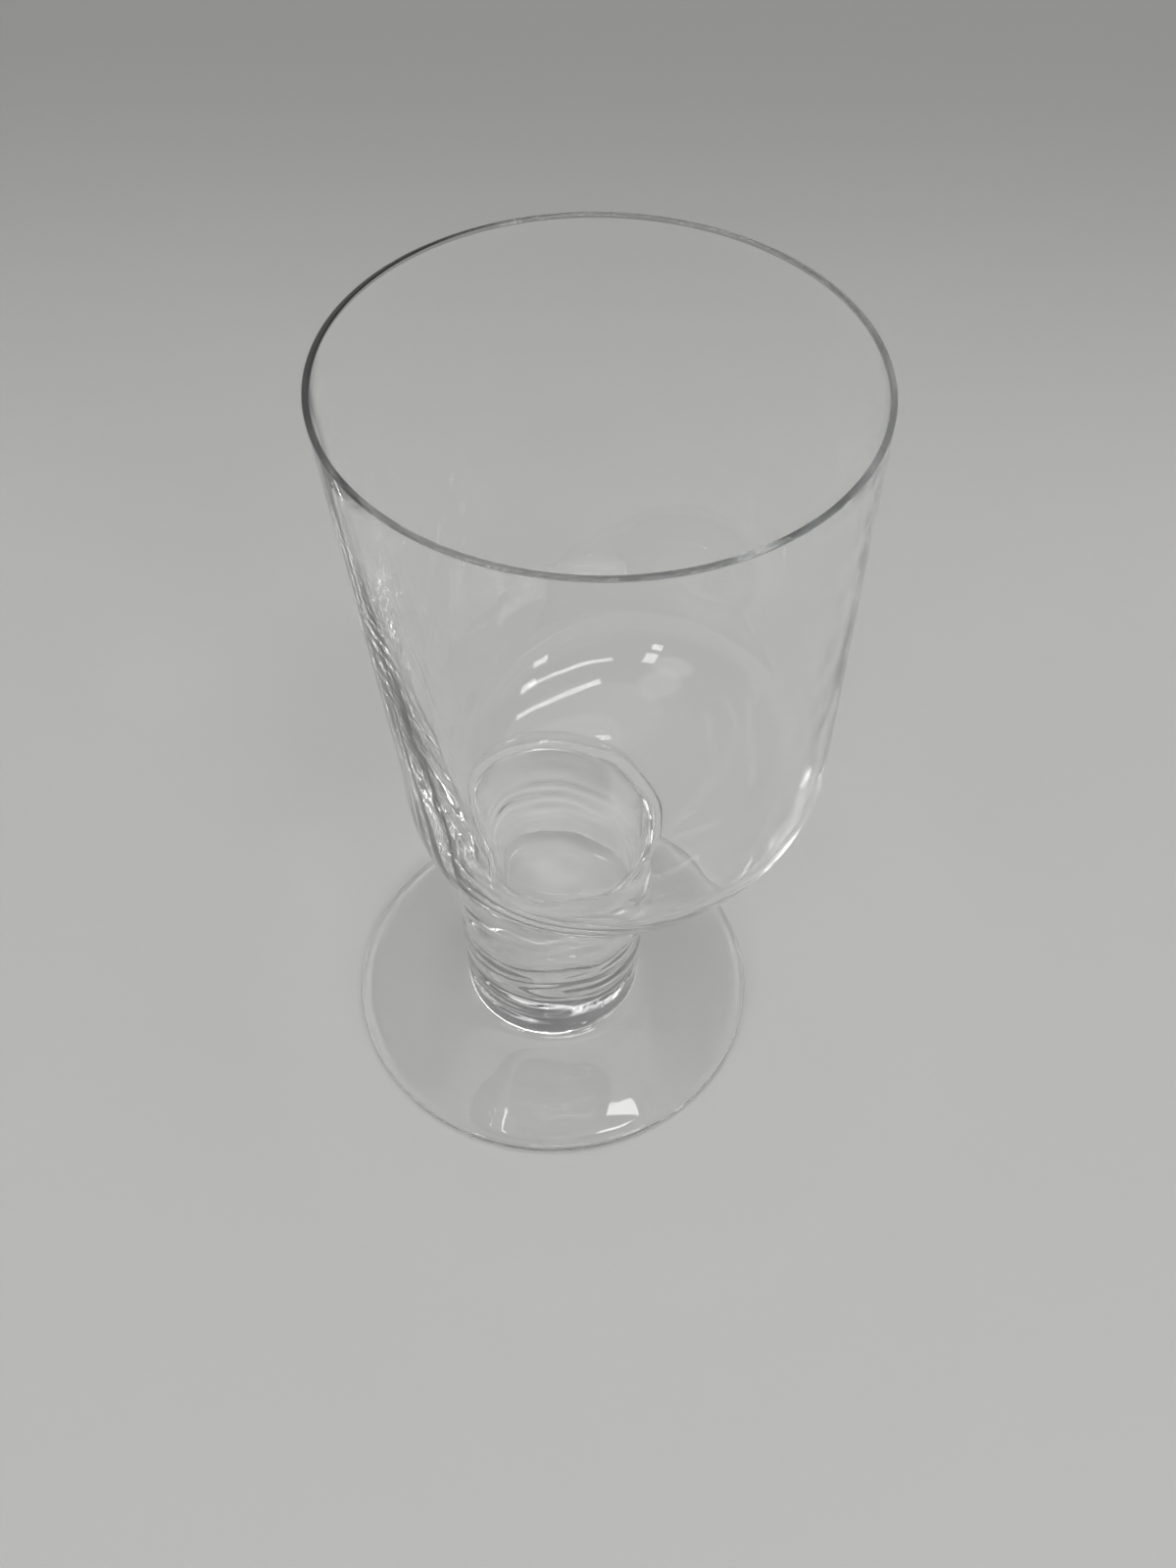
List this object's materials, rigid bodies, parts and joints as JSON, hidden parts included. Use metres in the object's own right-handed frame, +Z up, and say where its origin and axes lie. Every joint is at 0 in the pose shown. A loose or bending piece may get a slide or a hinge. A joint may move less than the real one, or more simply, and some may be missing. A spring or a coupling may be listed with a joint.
{
  "type": "water glass",
  "caption": "Clear water goblet: an open, slightly tapered bowl with a rounded bottom, carried off-centre by a thick solid stem on a round flat foot.",
  "frame": {"origin": "centre of the foot's flat underside, on the stem's axis", "axes": "+Z up along the stem, +X towards the side that the bowl overhangs, the mirror plane of the glass being XZ"},
  "size_m": [0.0875, 0.08, 0.153],
  "materials": {
    "clear_glass": "colourless, fire-polished, hand-made"
  },
  "bodies": {
    "root": {"foot": "clear_glass", "stem": "clear_glass", "bowl": "clear_glass"}
  },
  "joints": []
}
